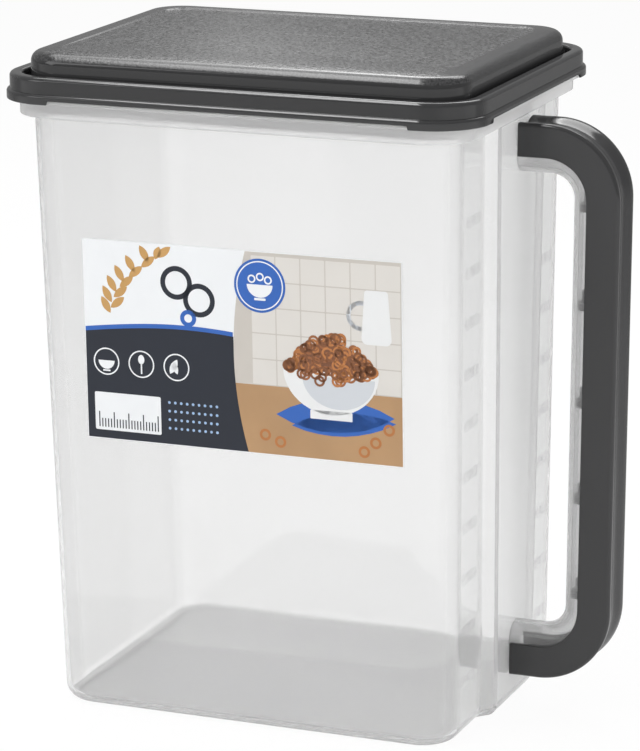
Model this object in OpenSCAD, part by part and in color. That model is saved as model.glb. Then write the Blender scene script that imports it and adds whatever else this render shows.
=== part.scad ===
// Tall handled storage tub for dry food: a clear tapered tub with a moulded C handle, a dark grip shell
// that snaps over the handle, a lift-out pour spout that sits in the rim, and a press-on lid.
// The long axis is X, with the handle at +X and the pouring end at -X. The label side faces -Y.

/* [Tub] */
// Outer length of the wall just under the rim
tub_len = 225; // [190:1:260]
// Outer width of the wall just under the rim
tub_width = 179; // [150:1:200]
// Height of the wall from the foot to the rim's ledge
tub_height = 305; // [270:1:340]
// Corner radius of the wall under the rim
tub_corner = 20.7; // [16:0.1:26]
// How far the pouring end leans in from rim to foot
lean_front = 8.3; // [4:0.1:14]
// How far the handle end leans in from rim to foot
lean_back = 2.4; // [1:0.1:5]
// How far each long side leans in from rim to foot
lean_side = 4.3; // [2:0.1:8]
// Corner radius at the foot
foot_corner = 20; // [15:0.1:25]
// Radius where the walls turn into the floor
foot_fillet = 8; // [5:0.1:12]
// Thickness of the walls
wall = 2; // [1.4:0.1:3]
// Thickness of the floor
floor_t = 2.5; // [1.5:0.1:4]

/* [End panel] */
// How far the raised panel stands out of the handle end
panel_out = 6; // [4:0.1:6.6]
// Width of the panel's flat crest under the rim
panel_top_w = 68; // [50:1:90]
// Width of the panel's flat crest at the foot
panel_foot_w = 55.4; // [44:1:68]
// Width of each sloped side of the panel
panel_slope = 6.5; // [4:0.1:10]
// Radius along the crest's two edges
panel_edge = 3; // [2.2:0.1:5]

/* [Rim] */
// How far the rim's skirt stands out of the end walls
rim_out_x = 7; // [6.8:0.1:10]
// How far the rim's skirt stands out of the side walls
rim_out_y = 2.7; // [2.2:0.1:6]
// Height of the rim's skirt, from the ledge to the flange's upper face
rim_height = 9.7; // [8.5:0.1:14]
// Thickness of the ledge, the skirt, the flange and the collar
rim_t = 2; // [1.5:0.1:2.5]
// Width of the flange outside the skirt
flange_out = 5.1; // [4.5:0.1:7]
// Step from the flange's edge in to the collar
collar_step = 2.2; // [1.8:0.1:2.6]
// Height of the collar above the flange
collar_height = 8.8; // [7:0.1:12]

/* [Pour spout] */
// Thickness of the spout's plastic
spout_t = 1.8; // [1.4:0.1:2.4]
// Thickness of the flange that rests in the rim
spout_flange_t = 2.2; // [1.6:0.1:2.6]
// Side clearance between the spout and the rim
spout_gap = 0.5; // [0.3:0.05:0.8]
// Distance from the middle of the tub to the mouth's inner end, towards the pouring end
mouth_back = 5; // [0:1:20]
// Width of the mouth at its inner end
mouth_back_w = 156; // [120:1:164]
// Width of the mouth at the pouring lip
mouth_front_w = 84; // [60:1:110]
// Distance from the spout's end wall to the pouring lip
mouth_end = 5; // [4.2:0.1:12]
// Height of the pouring lip above the spout's flange
lip_height = 9.8; // [4:0.1:11]
// Length over which the guide walls climb to the lip
lip_run = 20; // [12:1:40]
// Width of the finger bar
bar_w = 12; // [9:0.5:16]
// Length of the finger bar
bar_len = 110; // [70:1:140]
// Height of the finger bar above the spout's flange
bar_height = 13.8; // [9:0.1:14.5]
// Distance from the spout's end wall to the finger bar
bar_end = 17; // [10:1:40]

/* [Lid] */
// Clearance between the lid and the rim
lid_gap = 0.3; // [0.2:0.05:0.5]
// Thickness of the lid's thin outer lip
lid_lip = 1.1; // [0.8:0.1:1.6]
// Thickness of the lid's walls
lid_t = 1.5; // [1.2:0.1:2]
// Thickness of the lid's raised platform
lid_top_t = 2; // [1.6:0.1:2.6]
// Height of the lid's outer lip above the flange
lid_lip_height = 2.9; // [2.4:0.1:4]
// Step from the lip's outside in to the shoulder
shoulder_step = 1.65; // [1.4:0.05:1.9]
// Height of the shoulder above the lip
shoulder_height = 8.05; // [7.8:0.05:10]
// Width of the shoulder's top
shoulder_w = 6.4; // [6:0.1:7]
// Gutter between shoulder and platform at the two ends
gutter_ends = 2.8; // [2:0.1:5]
// Gutter between shoulder and platform along the sides
gutter_sides = 3.9; // [2:0.1:6]
// Height of the platform's top above the lip
platform_height = 18.4; // [17.6:0.1:24]
// Corner radius of the platform
platform_corner = 20; // [15:0.5:26]
// Radius of the platform's upper edge
platform_edge = 5.4; // [4:0.1:7]
// Border around the shallow panel in the platform
border = 13.5; // [10:0.5:20]
// Depth of the shallow panel
panel_sink = 0.6; // [0.3:0.1:0.9]
// Corner radius of the shallow panel
sink_corner = 12; // [6:0.5:16]
// Depth of the corner tabs below the flange's upper face
tab_drop = 1.8; // [1:0.1:2.8]
// Length of a corner tab along the ends and the sides
tab_len = 32; // [28:0.5:40]

/* [Handle] */
// Distance from the panel under the rim out to the centre of the upper bend
arm_len = 15.4; // [12:0.1:24]
// Height of the upper bend's centre
bend_high = 265.3; // [230:0.1:267]
// Height of the lower bend's centre
bend_low = 56.4; // [50:0.1:90]
// How much nearer to the tub the lower bend lies
upright_lean = 2; // [0:0.1:6]
// Outer radius of the grip's bends
bend_r = 37.9; // [36:0.1:42]
// Depth of the grip, from its outer face to its edges
grip_depth = 16.9; // [15.5:0.1:17.5]
// Width of the grip
grip_w = 25; // [23:0.1:28]
// Thickness of the grip's two side walls
grip_wall = 2; // [1.5:0.1:2.5]
// Thickness of the grip's web under the hollow
grip_web = 2.4; // [1.6:0.1:3]
// Width of the hollow along the grip's outer face
groove_w = 17; // [12:0.5:19]
// Depth of the hollow
groove_d = 1.8; // [1:0.1:2.4]
// Height of the rounding at the grip's outer edges
grip_edge = 2.2; // [1.5:0.1:3.4]
// Clearance between the grip's ends and the tub
grip_end_gap = 1; // [0.5:0.1:2]
// Side clearance between the clear core and the grip
core_gap = 0.2; // [0.1:0.05:0.4]
// Wall of the clear core
core_wall = 2.2; // [1.6:0.1:2.4]
// How deep the core's half round starts inside the grip
core_tuck = 1; // [0.5:0.1:2]
// Straight flanks of the core past its half round
core_flank = 1.5; // [1:0.1:3]

/* [Snap hooks] */
// Number of hooks along the upright
hook_count = 5; // [3:1:7]
// Width of a hook
hook_w = 14; // [11:0.5:14.5]
// How much the tab is set back from the bar, at its end and at its sides
hook_step = 2; // [1:0.1:2.6]
// Height of a hook's bar
hook_bar = 3.7; // [3:0.1:5]
// Height of the shorter tab above the bar
hook_tab = 5.7; // [4:0.1:7]
// Height of the lowest hook's bar above the lower bend's centre
hook_low = 8.6; // [4:0.1:16]
// Depth of the highest hook's bar below the upper bend's centre
hook_high = 1.5; // [0.5:0.1:8]
// Clearance between the hooks and the core
hook_gap = 0.4; // [0.3:0.05:0.8]

/* [Label] */
// Width of the label
label_w = 168.5; // [100:0.5:170]
// Height of the label
label_h = 102; // [60:0.5:140]
// Thickness of the label
label_t = 0.2; // [0.1:0.05:0.4]
// Height of the label's middle
label_z = 195.4; // [150:0.1:220]
// Distance from the tub's middle to the label's middle, along the tub
label_x = 3.8; // [-6:0.1:6]
// Turn of the label out of level, its handle end up
label_turn = 0.3; // [-1.5:0.1:1.5]

/* [Volume marks] */
// Number of cup marks
cup_marks = 10; // [6:1:10]
// Number of litre marks
litre_marks = 8; // [5:1:9]
// Distance from the end wall's middle to each column of marks
marks_out = 55.3; // [52:0.1:58]
// Width of a mark
mark_w = 21; // [16:0.5:22]
// Height of a mark
mark_h = 5.6; // [4:0.1:8]
// Straight part of a mark's round ends
mark_flat = 0.6; // [0.4:0.1:1]
// How far a mark stands out of the wall
mark_out = 0.3; // [0.2:0.05:0.5]

/* [Hidden] */
$fn = 96;
// Facets of the corners inside a hull
hull_fn = 32;
// Facets of a mark's round corners
mark_fn = 16;
// Cut that passes through a face
over = 1;
// Angle of one step along a filleted edge
edge_step = 15;
// Angle of one step around the core's half round
section_step = 10;
// Steps around each bend of the handle
bend_steps = 12;
// Steps from the crest of the grip's outer face down to the middle of its hollow
groove_steps = 6;
// How far the panel's prism reaches into the tub's body
panel_root = 4;

// Tub: half sizes and the lines that its walls follow
top_x = tub_len / 2;
top_y = tub_width / 2;
foot_front = top_x - lean_front;
foot_back = top_x - lean_back;
foot_y = top_y - lean_side;
side_tilt = atan(lean_side / (tub_height - foot_fillet));
back_tilt = atan(lean_back / (tub_height - foot_fillet));
panel_mitre = tan(atan(panel_out / panel_slope) / 2);

// Rim: half sizes and heights
skirt_x = top_x + rim_out_x;
skirt_y = top_y + rim_out_y;
skirt_r = tub_corner + 0.6;
flange_x = skirt_x + flange_out;
flange_y = skirt_y + flange_out;
flange_r = skirt_r + flange_out;
collar_x = flange_x - collar_step;
collar_y = flange_y - collar_step;
collar_r = flange_r - collar_step;
ledge_z = tub_height + rim_t;
flange_z = tub_height + rim_height;
collar_z = flange_z + collar_height;

// Spout: half sizes and heights
seat_x = collar_x - rim_t - spout_gap;
seat_y = collar_y - rim_t - spout_gap;
seat_r = collar_r - rim_t - spout_gap;
drop_x = skirt_x - rim_t - spout_gap;
drop_y = skirt_y - rim_t - spout_gap;
drop_r = skirt_r - rim_t - spout_gap;
spout_z = flange_z + lid_gap;
spout_top = spout_z + spout_flange_t;
deck_z = ledge_z + spout_gap;
inside_x = drop_x - spout_t;
inside_y = drop_y - spout_t;
inside_r = drop_r - spout_t;
mouth_x = inside_x - mouth_end;

// Lid: half sizes and heights
lip_x = flange_x + lid_gap + lid_lip;
lip_y = flange_y + lid_gap + lid_lip;
lip_r = flange_r + lid_gap + lid_lip;
lid_z = flange_z + lid_gap;
lip_z = lid_z + lid_lip_height;
shoulder_x = lip_x - shoulder_step;
shoulder_y = lip_y - shoulder_step;
shoulder_r = lip_r - shoulder_step;
shoulder_z = lip_z + shoulder_height;
gutter_x = shoulder_x - shoulder_w;
gutter_y = shoulder_y - shoulder_w;
gutter_r = shoulder_r - shoulder_w;
gutter_z = spout_top + 0.8;
platform_x = gutter_x - gutter_ends;
platform_y = gutter_y - gutter_sides;
platform_z = lip_z + platform_height;

// Handle: the bends' centres and the radii of its section about them
bend_x = top_x + panel_out + arm_len;
bend_low_x = bend_x - upright_lean;
upright_tilt = atan(upright_lean / (bend_high - bend_low));
upright_len = norm([upright_lean, bend_high - bend_low]);
grip_in = bend_r - grip_depth;
web_in = bend_r - groove_d - grip_web;
core_r = grip_w / 2 - grip_wall - core_gap;
core_centre = grip_in + core_tuck;
core_inner = core_r - core_wall;
hook_r = core_inner - hook_gap;
hook_pitch = (upright_len - hook_low - hook_high) / (hook_count - 1);

// Volume in cubic millimetres between two cup marks and between two litre marks
cups_volume = 960000;
litre_volume = 1000000;

// X of the end wall, and of the panel's crest on it, at height z
function back_x(z) = foot_back + lean_back * max(0, z - foot_fillet) / (tub_height - foot_fillet);
function crest_x(z) = back_x(z) + panel_out;

// Y of a side wall, without its sign, at height z
function side_y(z) = foot_y + lean_side * (z - foot_fillet) / (tub_height - foot_fillet);

// Area inside the tub at height z, and the height that the nth equal volume fills to
function inside_area(z) =
    (back_x(z) + foot_front + lean_front * z / tub_height - 2 * wall) * 2 * (side_y(z) - wall)
    + panel_out * (panel_top_w + panel_foot_w) / 2;
function fill_z(n, volume) =
    n == 0 ? floor_t : let (z = fill_z(n - 1, volume)) z + volume / inside_area(z + tub_height / 24);

// Rectangle with round corners, given by its half sizes
module rounded_rect(half_x, half_y, r) {
    square([2 * (half_x - r), 2 * half_y], center = true);
    square([2 * half_x, 2 * (half_y - r)], center = true);
    for (x = [-1, 1], y = [-1, 1])
        translate([x * (half_x - r), y * (half_y - r)]) circle(r);
}

// Upright ring of the given wall thickness between two heights
module ring(half_x, half_y, r, t, z_low, z_high) {
    translate([0, 0, z_low])
        linear_extrude(z_high - z_low)
            difference() {
                rounded_rect(half_x, half_y, r);
                rounded_rect(half_x - t, half_y - t, r - t);
            }
}

// Disc whose lower edge is filleted
module filleted_disc(r, fillet) {
    rotate_extrude($fn = hull_fn)
        polygon(concat(
            [[0, 0]],
            [for (a = [0:edge_step:90]) [r - fillet + fillet * sin(a), fillet - fillet * cos(a)]],
            [[0, fillet]]));
}

// Tapered box with a filleted floor, inset from the tub's outside; back_out moves its +X end out
module tapered_box(inset, back_out) {
    foot_r = foot_corner - inset;
    top_r = tub_corner - inset;
    fillet = foot_fillet - inset;
    z_low = inset > 0 ? floor_t : 0;
    hull() {
        for (x = [-foot_front + foot_corner, foot_back + back_out - foot_corner], s = [-1, 1])
            translate([x, s * (foot_y - foot_corner), z_low]) filleted_disc(foot_r, fillet);
        for (x = [-top_x + tub_corner, top_x + back_out - tub_corner], s = [-1, 1])
            translate([x, s * (top_y - tub_corner), tub_height])
                cylinder(r = top_r, h = rim_t + (inset > 0 ? over : 0), $fn = hull_fn);
    }
}

// Raised panel on the handle end, as a plain prism from foot to rim
module panel_prism(inset) {
    edge = panel_edge - inset;
    module rail(wall_x, crest_half, z, h) {
        base_half = crest_half + panel_slope - inset * panel_mitre;
        for (s = [-1, 1])
            translate([wall_x + panel_out - panel_edge, s * (crest_half - panel_edge * panel_mitre), z])
                cylinder(r = edge, h = h, $fn = hull_fn);
        translate([wall_x - inset - panel_root, -base_half, z]) cube([panel_root, 2 * base_half, h]);
    }
    hull() {
        rail(foot_back, panel_foot_w / 2, 0, over);
        rail(top_x, panel_top_w / 2, tub_height, rim_t + (inset > 0 ? over : 0));
    }
}

// The tub's body, inset from its outside
module tub_body(inset) {
    tapered_box(inset, 0);
    intersection() {
        panel_prism(inset);
        tapered_box(inset, panel_out);
    }
}

// Two columns of raised pads on the handle end: cups on the label's side, litres on the other
module volume_marks() {
    module mark(y, z) {
        translate([back_x(z), y, z]) rotate([0, back_tilt, 0])
            translate([-wall / 2, 0, 0]) rotate([90, 0, 90]) linear_extrude(wall / 2 + mark_out)
                rounded_rect(mark_w / 2, mark_h / 2, mark_h / 2 - mark_flat / 2, $fn = mark_fn);
    }
    for (n = [1:cup_marks]) mark(-marks_out, fill_z(n, cups_volume));
    for (n = [1:litre_marks]) mark(marks_out, fill_z(n, litre_volume));
}

// Clear tapered tub with its ledge, rim skirt, flange and collar
module tub() {
    color([0.86, 0.88, 0.89, 0.5])
        difference() {
            union() {
                tub_body(0);
                volume_marks();
                translate([0, 0, tub_height])
                    linear_extrude(rim_t) rounded_rect(skirt_x, skirt_y, skirt_r);
                ring(skirt_x, skirt_y, skirt_r, rim_t, tub_height, flange_z);
                ring(flange_x, flange_y, flange_r, flange_out + rim_t, flange_z - rim_t, flange_z);
                ring(collar_x, collar_y, collar_r, rim_t, flange_z - rim_t, collar_z);
            }
            tub_body(wall);
        }
}

// Points of an arc about [u, v], from one angle to another
function arc(u, v, r, from, to, step) =
    let (count = round(abs(to - from) / step))
    [for (n = [0:count]) let (a = from + n * (to - from) / count) [u + r * cos(a), v + r * sin(a)]];

// Sweeps a section along the C of the handle. Its first axis points away from the bends' centres and its
// second runs across the handle. caps lists the flat pieces that close its ends, as indices of its points.
// The arms end at the given clearance from the panel's crest.
module along_handle(section, caps, gap) {
    bends = concat(
        [for (n = [0:bend_steps]) [bend_x, bend_high, 90 - n * (90 + upright_tilt) / bend_steps]],
        [for (n = [0:bend_steps])
            [bend_low_x, bend_low, -upright_tilt - n * (90 - upright_tilt) / bend_steps]]);
    count = len(section);
    last = (len(bends) + 1) * count;
    polyhedron(
        points = concat(
            [for (p = section) [crest_x(bend_high + p[0]) + gap, p[1], bend_high + p[0]]],
            [for (s = bends, p = section) [s[0] + p[0] * cos(s[2]), p[1], s[1] + p[0] * sin(s[2])]],
            [for (p = section) [crest_x(bend_low - p[0]) + gap, p[1], bend_low - p[0]]]),
        faces = concat(
            [for (cap = caps) [for (n = [len(cap) - 1:-1:0]) cap[n]]],
            [for (cap = caps) [for (i = cap) last + i]],
            [for (s = [0:len(bends)], n = [0:count - 1])
                let (next = (n + 1) % count)
                    [s * count + n, s * count + next, (s + 1) * count + next, (s + 1) * count + n]]));
}

// Half round of radius r about the core's centre, with flanks that run towards the grip's web
function half_round(r) = concat(
    [[core_centre + core_flank, r]],
    arc(core_centre, 0, r, 90, 270, section_step),
    [[core_centre + core_flank, -r]]);

// Clear C handle moulded onto the end panel, hollow and open towards the grip's web
module handle_core() {
    outside = half_round(core_r);
    inside = half_round(core_inner);
    m = len(outside);
    color([0.82, 0.85, 0.87, 0.55])
        along_handle(
            concat(outside, [for (n = [m - 1:-1:0]) inside[n]]),
            [for (n = [0:m - 2]) [n, n + 1, 2 * m - 2 - n, 2 * m - 1 - n]],
            0);
}

// Near half of the grip's section: side wall, round outer edge, and the hollow down to its middle
function grip_half() =
    let (half = grip_w / 2, inner = half - grip_wall, crest = groove_w / 2)
    concat(
        [[web_in, -inner], [grip_in, -inner], [grip_in, -half]],
        [for (a = [-90:edge_step:0])
            [bend_r - grip_edge * (1 - cos(a)), -crest + (half - crest) * sin(a)]],
        [for (n = [1:groove_steps - 1])
            let (a = 180 * (1 - n / groove_steps))
                [bend_r - groove_d * (1 + cos(a)) / 2, -crest * a / 180]]);

// The grip's shell without its hooks
module grip_shell() {
    near = grip_half();
    m = len(near);
    along_handle(
        concat(near, [for (n = [m - 1:-1:0]) [near[n][0], -near[n][1]]]),
        [[for (n = [0:m - 1]) n], [m - 1, m, 2 * m - 1, 0], [for (n = [2 * m - 1, each [m:2 * m - 2]]) n]],
        grip_end_gap);
}

// Plan of one step of a hook: a round end of radius r inside the core, running back into the web
function hook_plan(r, w) =
    let (a = asin(w / 2 / r))
    concat(
        [[web_in + over / 2, w / 2]],
        arc(core_centre, 0, r, 180 - a, 180 + a, section_step),
        [[web_in + over / 2, -w / 2]]);

// One snap hook, standing on the web: a bar that follows the core's hollow and a smaller tab above it
module snap_hook() {
    linear_extrude(hook_bar) polygon(hook_plan(hook_r, hook_w));
    linear_extrude(hook_bar + hook_tab) polygon(hook_plan(hook_r - hook_step, hook_w - 2 * hook_step));
}

// Dark grip shell with a hollow outer face and its row of snap hooks
module grip() {
    color([0.26, 0.26, 0.27]) {
        grip_shell();
        translate([bend_low_x, 0, bend_low]) rotate([0, upright_tilt, 0])
            for (n = [0:hook_count - 1])
                translate([0, 0, hook_low + n * hook_pitch - hook_bar]) snap_hook();
    }
}

// Outline of the pouring mouth, grown by t on every side
module mouth_outline(t) {
    spread = atan((mouth_back_w - mouth_front_w) / 2 / (mouth_x - mouth_back));
    grow = t / cos(spread);
    back_half = mouth_back_w / 2 + grow + t * tan(spread);
    front_half = mouth_front_w / 2 + grow - t * tan(spread);
    polygon([
        [t - mouth_back, -back_half],
        [t - mouth_back, back_half],
        [-mouth_x - t, front_half],
        [-mouth_x - t, -front_half]]);
}

// Side view of the finger bar: straight flanks with a round top
module bar_outline(inset) {
    half = bar_w / 2 - inset;
    z_round = spout_top + bar_height - bar_w / 2;
    translate([-half, deck_z - (inset > 0 ? over : 0)])
        square([2 * half, z_round - deck_z + (inset > 0 ? over : 0)]);
    translate([0, z_round]) circle(half);
}

// Clear pour spout that drops into the rim: seat flange, deck, guide walls to the lip, finger bar
module spout_insert() {
    bar_x = inside_x - bar_end - bar_w / 2;
    lip_z_high = spout_top + lip_height;
    module across(length) {
        rotate([90, 0, 0]) translate([0, 0, -length / 2]) linear_extrude(length) children();
    }
    color([0.84, 0.87, 0.9, 0.6])
        difference() {
            union() {
                ring(seat_x, seat_y, seat_r, seat_x - inside_x, spout_z, spout_top);
                ring(drop_x, drop_y, drop_r, spout_t, deck_z, spout_top);
                translate([0, 0, deck_z]) linear_extrude(spout_t) rounded_rect(drop_x, drop_y, drop_r);
                intersection() {
                    translate([0, 0, deck_z])
                        linear_extrude(lip_z_high - deck_z) mouth_outline(spout_t);
                    across(tub_width) polygon([
                        [spout_t, deck_z],
                        [spout_t, spout_top],
                        [lip_run - mouth_x, spout_top],
                        [-mouth_x, lip_z_high],
                        [-mouth_x - 2 * spout_t, lip_z_high],
                        [-mouth_x - 2 * spout_t, deck_z]]);
                }
                translate([bar_x, 0, 0]) across(bar_len) bar_outline(0);
            }
            translate([0, 0, deck_z - over]) linear_extrude(lip_z_high - deck_z + 2 * over) mouth_outline(0);
            translate([bar_x, 0, 0]) across(bar_len - 2 * spout_t) bar_outline(spout_t);
        }
}

// Block with round corners and a filleted upper edge
module platform_block(half_x, half_y, r, edge, z_low, z_high) {
    hull()
        for (x = [-1, 1], y = [-1, 1])
            translate([x * (half_x - r), y * (half_y - r), 0]) {
                translate([0, 0, z_high]) mirror([0, 0, 1]) filleted_disc(r, edge);
                translate([0, 0, z_low]) cylinder(r = r, h = over, $fn = hull_fn);
            }
}

// Dark press-on lid: thin lip with corner tabs, hollow shoulder over the collar, raised platform
module lid() {
    color([0.27, 0.27, 0.28])
        difference() {
            union() {
                ring(lip_x, lip_y, lip_r, lid_lip + shoulder_step, lip_z - lid_t, lip_z);
                ring(lip_x, lip_y, lip_r, lid_lip, lid_z, lip_z);
                intersection() {
                    ring(lip_x, lip_y, lip_r, lid_lip, flange_z - tab_drop, lip_z);
                    for (x = [-1, 1], y = [-1, 1])
                        translate([x * (lip_x - tab_len / 2), y * (lip_y - tab_len / 2), flange_z])
                            cube([tab_len + over, tab_len + over, 2 * tab_drop + 2 * over], center = true);
                }
                ring(shoulder_x, shoulder_y, shoulder_r, lid_t, lip_z - lid_t, shoulder_z);
                ring(shoulder_x, shoulder_y, shoulder_r, shoulder_w, shoulder_z - lid_t, shoulder_z);
                ring(gutter_x + lid_t, gutter_y + lid_t, gutter_r + lid_t, lid_t, gutter_z, shoulder_z);
                translate([0, 0, gutter_z])
                    linear_extrude(lid_t) rounded_rect(gutter_x + lid_t, gutter_y + lid_t, gutter_r + lid_t);
                platform_block(platform_x, platform_y, platform_corner, platform_edge, gutter_z, platform_z);
            }
            platform_block(
                platform_x - lid_top_t, platform_y - lid_top_t, platform_corner - lid_top_t,
                platform_edge - lid_top_t, gutter_z - over, platform_z - lid_top_t);
            translate([0, 0, platform_z - panel_sink])
                linear_extrude(over)
                    rounded_rect(platform_x - border, platform_y - border, sink_corner);
        }
}

// Printed label on the tub's -Y side
module label() {
    color([0.93, 0.94, 0.95])
        translate([label_x, -side_y(label_z), label_z])
            rotate([side_tilt, 0, 0]) rotate([0, -label_turn, 0])
                translate([-label_w / 2, -label_t, -label_h / 2]) cube([label_w, label_t, label_h]);
}

tub();
handle_core();
grip();
spout_insert();
lid();
label();
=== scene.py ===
"""Looks of the handled food keeper: clear tapered tub, dark lid and grip, pour spout and a generic label."""

import math

import bmesh
import bpy
import numpy as np
from mathutils import Matrix


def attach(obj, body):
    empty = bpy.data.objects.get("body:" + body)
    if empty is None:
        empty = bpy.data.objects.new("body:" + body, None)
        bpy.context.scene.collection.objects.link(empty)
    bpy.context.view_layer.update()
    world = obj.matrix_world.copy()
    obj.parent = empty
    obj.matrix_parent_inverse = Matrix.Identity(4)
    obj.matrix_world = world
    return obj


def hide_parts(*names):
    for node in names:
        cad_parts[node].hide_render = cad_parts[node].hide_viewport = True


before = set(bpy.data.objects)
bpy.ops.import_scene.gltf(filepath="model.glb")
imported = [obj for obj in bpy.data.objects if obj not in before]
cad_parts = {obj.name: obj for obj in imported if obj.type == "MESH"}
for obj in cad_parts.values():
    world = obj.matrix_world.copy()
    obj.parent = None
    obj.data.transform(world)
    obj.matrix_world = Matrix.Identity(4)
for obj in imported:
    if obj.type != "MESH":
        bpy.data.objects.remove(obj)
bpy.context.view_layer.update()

MM = 0.001

# --- camera, as the photograph was taken ---

PHOTO_W, PHOTO_H = 640, 751
CAMERA_EYE = (687.2, -1677.4, 630.1)
CAMERA_AZIMUTH = 22.273
CAMERA_ELEVATION = 14.489
CAMERA_ROLL = -0.368
FOCAL_PX = 3649.38
CENTRE_PX = (302.89, 375.63)
SENSOR_MM = 36.0
FAR_CLIP = 100.0


def make_camera():
    """The photograph's camera: its eye, direction and roll, and the frame's shift off its axis."""
    az, el, roll = (math.radians(a) for a in (CAMERA_AZIMUTH, CAMERA_ELEVATION, CAMERA_ROLL))
    forward = np.array([-math.sin(az) * math.cos(el), math.cos(az) * math.cos(el), -math.sin(el)])
    right = np.array([math.cos(az), math.sin(az), 0.0])
    down = np.cross(forward, right)
    right_rolled = math.cos(roll) * right - math.sin(roll) * down
    down_rolled = math.sin(roll) * right + math.cos(roll) * down
    data = bpy.data.cameras.new("camera")
    data.sensor_fit = "HORIZONTAL"
    data.sensor_width = SENSOR_MM
    data.lens = FOCAL_PX / PHOTO_W * SENSOR_MM
    data.shift_x = (PHOTO_W / 2 - CENTRE_PX[0]) / PHOTO_W
    data.shift_y = (CENTRE_PX[1] - PHOTO_H / 2) / PHOTO_W
    data.clip_end = FAR_CLIP
    camera = bpy.data.objects.new("camera", data)
    bpy.context.scene.collection.objects.link(camera)
    turn = Matrix([right_rolled, -down_rolled, -forward]).transposed().to_4x4()
    turn.translation = [c * MM for c in CAMERA_EYE]
    camera.matrix_world = turn
    bpy.context.scene.camera = camera


# --- sizes, in millimetres -----------------
# The solids have the same, but for the grip's hollow and edge and the panel's root, which differ a little.
# Three numbers are half lengths along x and y and a corner's radius. FOOT_X is the foot's two ends,
# PANEL_HALF the end panel's half width at foot and top; the centres of bends and label are x and z.

TUB_TOP = (112.5, 89.5, 20.7)
TUB_HEIGHT = 305.0
FOOT_X = (-104.2, 110.1)
FOOT_HALF_Y = 85.2
FOOT_CORNER = 20.0
FOOT_FILLET = 8.0
WALL = 2.0
FLOOR = 2.5
PANEL_OUT = 6.0
PANEL_HALF = (27.7, 34.0)
PANEL_SLOPE = 6.5
PANEL_EDGE = 3.0
PANEL_EDGE_MIN = 0.4
PANEL_ROOT = 2.0

SKIRT = (119.5, 92.2, 21.3)
RIM_WALL = 2.0
LEDGE_Z = 307.0
LEDGE_ROUND = 0.5
FLANGE_Z = 314.7
FLANGE_OUT = 5.1
COLLAR_STEP = 2.2
COLLAR_Z = 323.5

LIP = (126.0, 98.7, 27.8)
LID_Z = 315.0
LIP_Z = 317.9
LIP_WALL = 1.1
LID_WALL = 1.5
SHOULDER_STEP = 1.65
SHOULDER_Z = 325.95
SHOULDER_W = 6.4
GUTTER_Z = 318.0
PLATFORM = (115.15, 86.75, 20.0)
PLATFORM_Z = 336.3
PLATFORM_EDGE = 5.4
PLATFORM_WALL = 2.0
BORDER = 13.5
SINK = 0.6
SINK_CORNER = 12.0
TAB_Z = 312.9
TAB_FROM = (94.0, 66.7)

BEND_HIGH = (133.9, 265.3)
BEND_LOW = (131.9, 56.4)
BEND_R = 37.9
GRIP_IN = 21.0
GRIP_HALF = 12.5
GRIP_WALL = 2.0
GRIP_WEB = 33.7
HOLLOW_HALF = 10.6
HOLLOW_DEPTH = 2.3
GRIP_EDGE = 1.8
GRIP_END_GAP = 1.0
CORE_CENTRE = 22.0
CORE_R = 10.3
CORE_INNER = 8.1
CORE_FLANK = 23.5

HOOK_R = 7.7
HOOK_HALF = 7.0
HOOK_STEP = 2.0
HOOK_BAR = 3.7
HOOK_TAB = 5.7
HOOK_LOW = 8.6
HOOK_PITCH = 49.7
HOOKS = 5

LABEL_SIZE = (168.5, 102.0)
LABEL_CENTRE = (3.8, 195.4)
LABEL_T = 0.2
LABEL_CORNER = 0.8
LABEL_TURN = 0.3
FILM_GAP = 0.02

# --- outlines and lofts --------------------

SMOOTH_ANGLE = 35.0
BEVEL_SEGMENTS = 2
BEVEL_ANGLE = 40.0


def unit(v):
    """The vector's direction, at length one."""
    return v / np.linalg.norm(v)


def corner_arc(before, corner, after, radius, steps):
    """Points of the arc that rounds a corner between the points before and after it."""
    back, on = unit(before - corner), unit(after - corner)
    half = math.acos(max(-1.0, min(1.0, float(back @ on)))) / 2
    centre = corner + unit(back + on) * radius / math.sin(half)
    start = corner + back * radius / math.tan(half) - centre
    end = corner + on * radius / math.tan(half) - centre
    sweep = math.atan2(start[0] * end[1] - start[1] * end[0], start @ end)
    points = []
    for k in range(steps + 1):
        a = sweep * k / steps
        c, s = math.cos(a), math.sin(a)
        points.append(centre + (start[0] * c - start[1] * s, start[0] * s + start[1] * c))
    return points


def rounded_polygon(corners, radii, steps):
    """Closed outline through the corners, each rounded by its own radius in as many steps as given."""
    corners = [np.array(c, float) for c in corners]
    points = []
    for i, corner in enumerate(corners):
        points += corner_arc(corners[i - 1], corner, corners[(i + 1) % len(corners)], radii[i], steps[i])
    return np.array(points)


def box_outline(x0, y0, x1, y1, r=0.4, steps=3):
    """Outline of a rectangle with rounded corners."""
    return rounded_polygon([(x0, y0), (x1, y0), (x1, y1), (x0, y1)], [r] * 4, [steps] * 4)


def fillet_profile(points, radii, steps=4):
    """Open profile through the points, with each inner point rounded by its own radius."""
    points = [np.array(p, float) for p in points]
    profile = [points[0]]
    for i in range(1, len(points) - 1):
        if radii[i] > 0:
            profile += corner_arc(points[i - 1], points[i], points[i + 1], radii[i], steps)
        else:
            profile.append(points[i])
    profile.append(points[-1])
    return profile


def at_height(outline, z):
    """The outline's points at height z, as a ring."""
    return np.column_stack([outline, np.full(len(outline), z)])


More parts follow.
